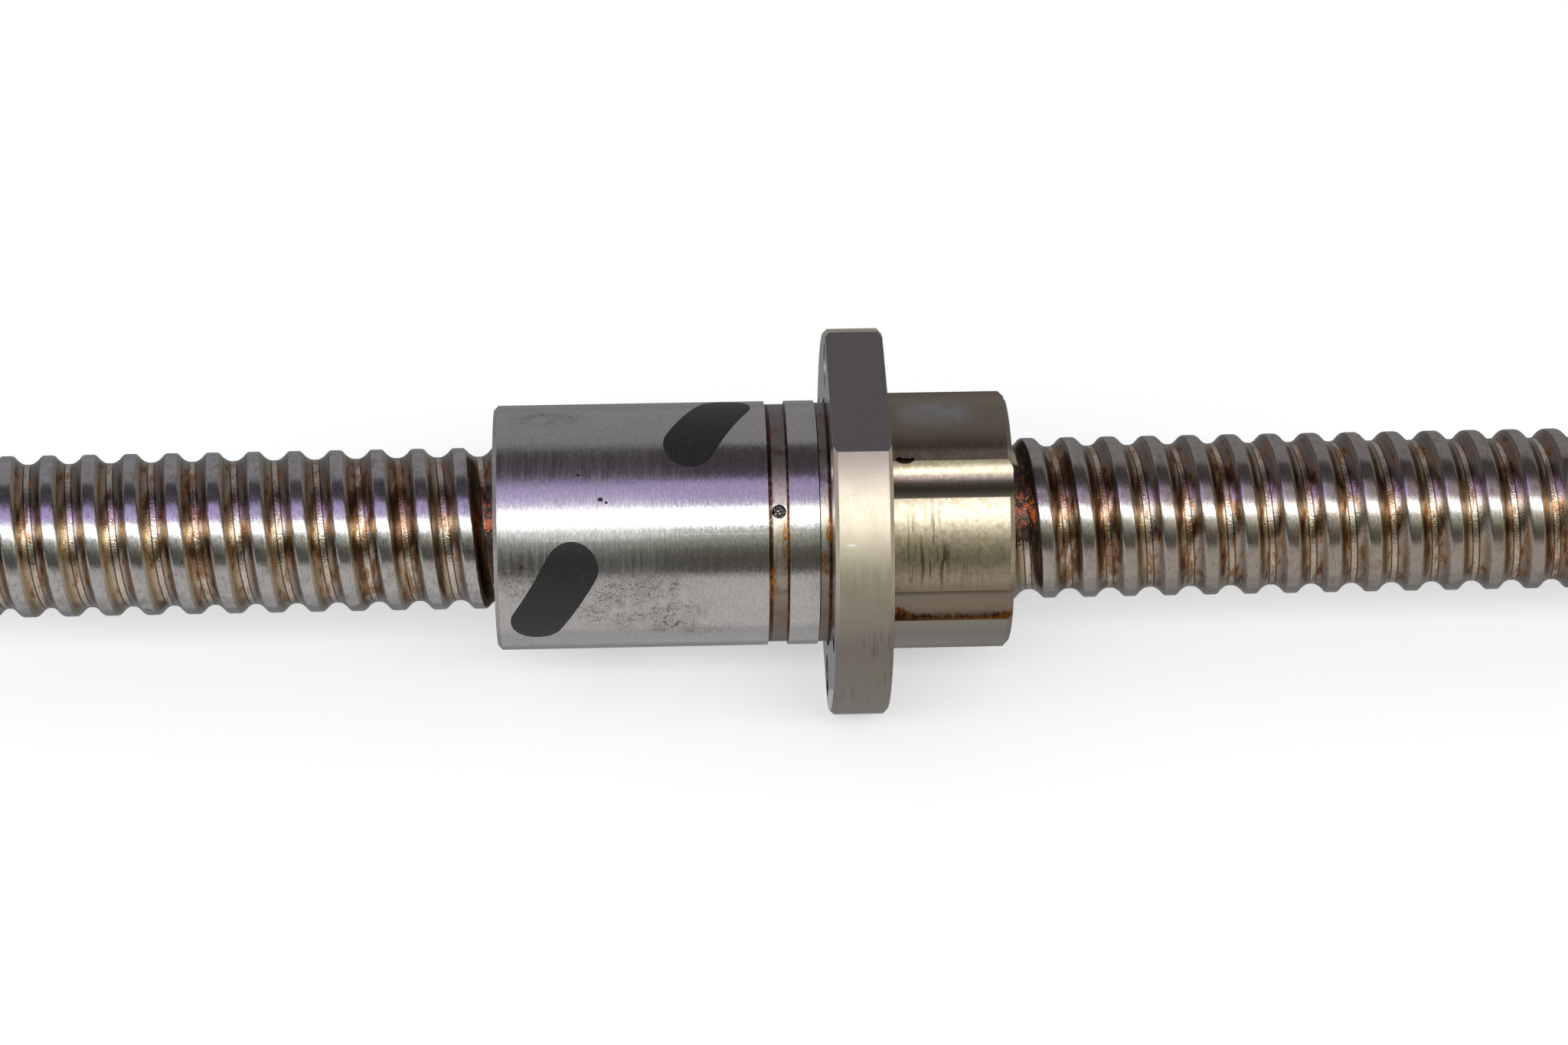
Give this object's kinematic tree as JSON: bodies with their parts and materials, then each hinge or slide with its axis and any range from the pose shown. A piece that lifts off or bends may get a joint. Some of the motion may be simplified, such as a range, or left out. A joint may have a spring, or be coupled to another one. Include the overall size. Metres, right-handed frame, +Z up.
{
  "type": "ball screw",
  "caption": "Ball screw: a shaft with a right-hand ball groove and plain end journals, carrying a round flanged nut with black flush deflectors, an oil groove and a fluted hub.",
  "frame": {"origin": "on the screw's axis, in the plane of the flange's seating face", "axes": "+X along the screw, from the nut's ground body towards its hub; +Z up, square to the flange's two flats; +Y away from the side that the picture shows"},
  "size_m": [0.27, 0.0474, 0.042],
  "materials": {
    "screw_steel": "ground",
    "nut_steel": "ground",
    "deflector_black": "satin",
    "ball_steel": "polished",
    "wiper_polymer": "matte"
  },
  "bodies": {
    "screw": {"screw_shaft": "screw_steel"},
    "wipers": {"wiper_left": "wiper_polymer", "wiper_right": "wiper_polymer"},
    "nut": {"ball_nut": "nut_steel", "deflector_1": "deflector_black", "deflector_2": "deflector_black", "deflector_3": "deflector_black", "deflector_4": "deflector_black", "ball_circuit_1": "ball_steel", "ball_circuit_2": "ball_steel", "ball_circuit_3": "ball_steel", "ball_circuit_4": "ball_steel"}
  },
  "joints": [
    {"name": "nut_travel", "type": "slide", "parent": "screw", "child": "wipers", "axis": [1, 0, 0], "range_m": [-0.0602, 0.0902]},
    {"name": "nut_turn", "type": "hinge", "parent": "wipers", "child": "nut", "pos_m": [0, 0, 0], "axis": [1, 0, 0], "range_deg": [-4320, 6480]}
  ],
  "couplings": [
    {"joint": "nut_travel", "follows": "nut_turn", "m_per_rad": 0.00079577}
  ]
}
